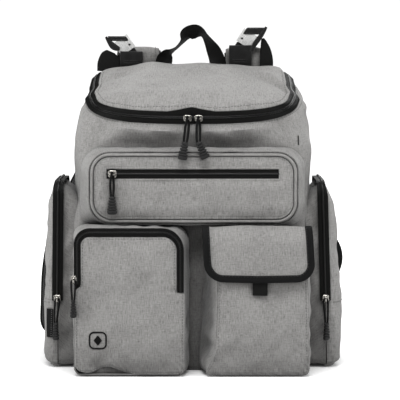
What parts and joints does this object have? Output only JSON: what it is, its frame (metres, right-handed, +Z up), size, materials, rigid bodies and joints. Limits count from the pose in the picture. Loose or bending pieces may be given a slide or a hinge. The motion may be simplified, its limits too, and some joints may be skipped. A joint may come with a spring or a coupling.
{
  "type": "diaper backpack",
  "caption": "Upright backpack for baby care gear: zipped fold-back lid, zipped, flap and side pockets, carry handle, shoulder straps and buckled stroller straps.",
  "frame": {"origin": "centre of the main compartment's base, on the ground", "axes": "+Z up, the bag's front faces -Y, +X to the right seen from the front"},
  "size_m": [0.4499, 0.2767, 0.4806],
  "materials": {
    "heather_grey": "heathered grey plain-weave polyester",
    "lining_fabric": "smooth dark grey lining",
    "spacer_mesh": "black open spacer mesh",
    "black_tape": "black zip tape and binding",
    "black_webbing": "black woven webbing",
    "nickel_slider": "nickel plate",
    "black_rubber": "matt moulded rubber and cord",
    "black_plastic": "satin black acetal"
  },
  "bodies": {
    "bag": {"body_wrap": "heather_grey", "back_panel": "spacer_mesh", "bottom_panel": "heather_grey", "lining": "lining_fabric", "body_zip_tape": "black_tape", "upper_pocket_gusset": "heather_grey", "upper_pocket_face": "heather_grey", "upper_pocket_piping": "heather_grey", "upper_pocket_zip": "black_tape", "left_pocket_gusset": "heather_grey", "left_pocket_tape_outer": "black_tape", "left_pocket_face_lower": "heather_grey", "badge_patch": "black_rubber", "right_pocket_gusset": "heather_grey", "right_pocket_face": "heather_grey", "side_gusset_left": "heather_grey", "side_gusset_right": "heather_grey", "side_lower_left": "heather_grey", "side_lower_right": "heather_grey", "side_tape_inner_left": "black_tape", "side_tape_inner_right": "black_tape", "side_label_left": "black_tape", "strap_tab_left": "heather_grey", "strap_tab_right": "heather_grey", "lower_webbing_left": "black_webbing", "lower_webbing_right": "black_webbing"},
    "lid": {"lid_panel": "heather_grey", "lid_zip_tape": "black_tape"},
    "left_pocket_front": {"left_pocket_face_upper": "heather_grey", "left_pocket_tape_inner": "black_tape"},
    "pocket_flap": {"right_pocket_flap": "heather_grey", "flap_binding": "black_tape", "flap_pull_tab": "black_webbing"},
    "side_front_left": {"side_panel_left": "heather_grey", "side_tape_outer_left": "black_tape"},
    "side_front_right": {"side_panel_right": "heather_grey", "side_tape_outer_right": "black_tape"},
    "handle": {"carry_handle": "black_webbing"},
    "main_left_slider": {"main_left_slider": "nickel_slider"},
    "main_left_pull": {"main_left_pull": "black_rubber"},
    "main_right_slider": {"main_right_slider": "nickel_slider"},
    "main_right_pull": {"main_right_pull": "black_rubber"},
    "upper_slider": {"upper_slider": "nickel_slider"},
    "upper_pull": {"upper_pull": "black_rubber"},
    "left_pocket_slider": {"left_pocket_slider": "nickel_slider"},
    "left_pocket_pull": {"left_pocket_pull": "black_rubber"},
    "side_left_slider": {"side_left_slider": "nickel_slider"},
    "side_left_pull": {"side_left_pull": "black_rubber"},
    "side_right_slider": {"side_right_slider": "nickel_slider"},
    "side_right_pull": {"side_right_pull": "black_rubber"},
    "shoulder_strap_left": {"shoulder_strap_left": "spacer_mesh"},
    "ladder_lock_left": {"ladder_lock_left": "black_plastic"},
    "shoulder_strap_right": {"shoulder_strap_right": "spacer_mesh"},
    "ladder_lock_right": {"ladder_lock_right": "black_plastic"},
    "stroller_strap_left": {"stroller_webbing_left": "black_webbing", "buckle_base_left": "black_plastic"},
    "buckle_clip_left": {"buckle_clip_left": "black_plastic"},
    "stroller_strap_right": {"stroller_webbing_right": "black_webbing", "buckle_base_right": "black_plastic"},
    "buckle_clip_right": {"buckle_clip_right": "black_plastic"}
  },
  "joints": [
    {"name": "lid_fold", "type": "hinge", "parent": "bag", "child": "lid", "pos_m": [0, 0.0785, 0.4195], "axis": [-1, 0, 0], "range_deg": [0, 66]},
    {"name": "main_left_zip", "type": "slide", "parent": "bag", "child": "main_left_slider", "axis": [1, 0, 0], "range_m": [-0.05, 0]},
    {"name": "main_left_pull_swing", "type": "hinge", "parent": "main_left_slider", "child": "main_left_pull", "pos_m": [-0.0098, -0.093, 0.3508], "axis": [-1, 0, 0], "range_deg": [0, 80]},
    {"name": "main_right_zip", "type": "slide", "parent": "bag", "child": "main_right_slider", "axis": [1, 0, 0], "range_m": [0, 0.05]},
    {"name": "main_right_pull_swing", "type": "hinge", "parent": "main_right_slider", "child": "main_right_pull", "pos_m": [0.0084, -0.093, 0.3508], "axis": [-1, 0, 0], "range_deg": [0, 80]},
    {"name": "upper_zip", "type": "slide", "parent": "bag", "child": "upper_slider", "axis": [1, 0, 0], "range_m": [0, 0.215]},
    {"name": "upper_pull_swing", "type": "hinge", "parent": "upper_slider", "child": "upper_pull", "pos_m": [-0.1085, -0.124, 0.27625], "axis": [-1, 0, 0], "range_deg": [0, 80]},
    {"name": "left_pocket_zip", "type": "slide", "parent": "bag", "child": "left_pocket_slider", "axis": [0, 0, 1], "range_m": [0, 0.044]},
    {"name": "left_pocket_pull_swing", "type": "hinge", "parent": "left_pocket_slider", "child": "left_pocket_pull", "pos_m": [-0.1607, -0.1391, 0.1335], "axis": [-1, 0, 0], "range_deg": [0, 80]},
    {"name": "side_left_zip", "type": "slide", "parent": "bag", "child": "side_left_slider", "axis": [0.0326, 0, 0.9995], "range_m": [0, 0.14]},
    {"name": "side_left_pull_swing", "type": "hinge", "parent": "side_left_slider", "child": "side_left_pull", "pos_m": [-0.1863, -0.0686, 0.0975], "axis": [-1, 0, 0], "range_deg": [0, 80]},
    {"name": "side_right_zip", "type": "slide", "parent": "bag", "child": "side_right_slider", "axis": [-0.0326, 0, 0.9995], "range_m": [0, 0.14]},
    {"name": "side_right_pull_swing", "type": "hinge", "parent": "side_right_slider", "child": "side_right_pull", "pos_m": [0.1863, -0.0686, 0.0975], "axis": [-1, 0, 0], "range_deg": [0, 80]},
    {"name": "left_pocket_fold", "type": "hinge", "parent": "bag", "child": "left_pocket_front", "pos_m": [0, -0.1365, 0.117], "axis": [1, 0, 0], "range_deg": [0, 75]},
    {"name": "flap_fold", "type": "hinge", "parent": "bag", "child": "pocket_flap", "pos_m": [0, -0.1245, 0.2035], "axis": [-1, 0, 0], "range_deg": [0, 77]},
    {"name": "side_left_fold", "type": "hinge", "parent": "bag", "child": "side_front_left", "pos_m": [-0.2062, 0, 0.0945], "axis": [0, -1, 0], "range_deg": [0, 60]},
    {"name": "side_right_fold", "type": "hinge", "parent": "bag", "child": "side_front_right", "pos_m": [0.2062, 0, 0.0945], "axis": [0, 1, 0], "range_deg": [0, 60]},
    {"name": "handle_swing", "type": "hinge", "parent": "bag", "child": "handle", "pos_m": [0, 0.0905, 0.406], "axis": [-1, 0, 0], "range_deg": [0, 11.5]},
    {"name": "shoulder_strap_left_swing", "type": "hinge", "parent": "bag", "child": "shoulder_strap_left", "pos_m": [-0.077, 0.106, 0.441], "axis": [1, 0, 0], "range_deg": [0, 30]},
    {"name": "ladder_lock_left_tilt", "type": "hinge", "parent": "shoulder_strap_left", "child": "ladder_lock_left", "pos_m": [-0.1965, 0.1175, 0.0236], "axis": [1, 0, 0], "range_deg": [-15, 15]},
    {"name": "shoulder_strap_right_swing", "type": "hinge", "parent": "bag", "child": "shoulder_strap_right", "pos_m": [0.077, 0.106, 0.441], "axis": [1, 0, 0], "range_deg": [0, 30]},
    {"name": "ladder_lock_right_tilt", "type": "hinge", "parent": "shoulder_strap_right", "child": "ladder_lock_right", "pos_m": [0.1425, 0.1195, 0.2045], "axis": [0.9806, 0, 0.1959], "range_deg": [-15, 15]},
    {"name": "stroller_strap_left_swing", "type": "hinge", "parent": "bag", "child": "stroller_strap_left", "pos_m": [-0.0895, 0.0905, 0.412], "axis": [1, 0, 0], "range_deg": [0, 10]},
    {"name": "buckle_clip_left_slide", "type": "slide", "parent": "stroller_strap_left", "child": "buckle_clip_left", "axis": [-0.5843, 0, 0.8115], "range_m": [0, 0.011]},
    {"name": "stroller_strap_right_swing", "type": "hinge", "parent": "bag", "child": "stroller_strap_right", "pos_m": [0.07, 0.0905, 0.412], "axis": [1, 0, 0], "range_deg": [0, 10]},
    {"name": "buckle_clip_right_slide", "type": "slide", "parent": "stroller_strap_right", "child": "buckle_clip_right", "axis": [0.5508, 0, 0.8346], "range_m": [0, 0.011]}
  ]
}
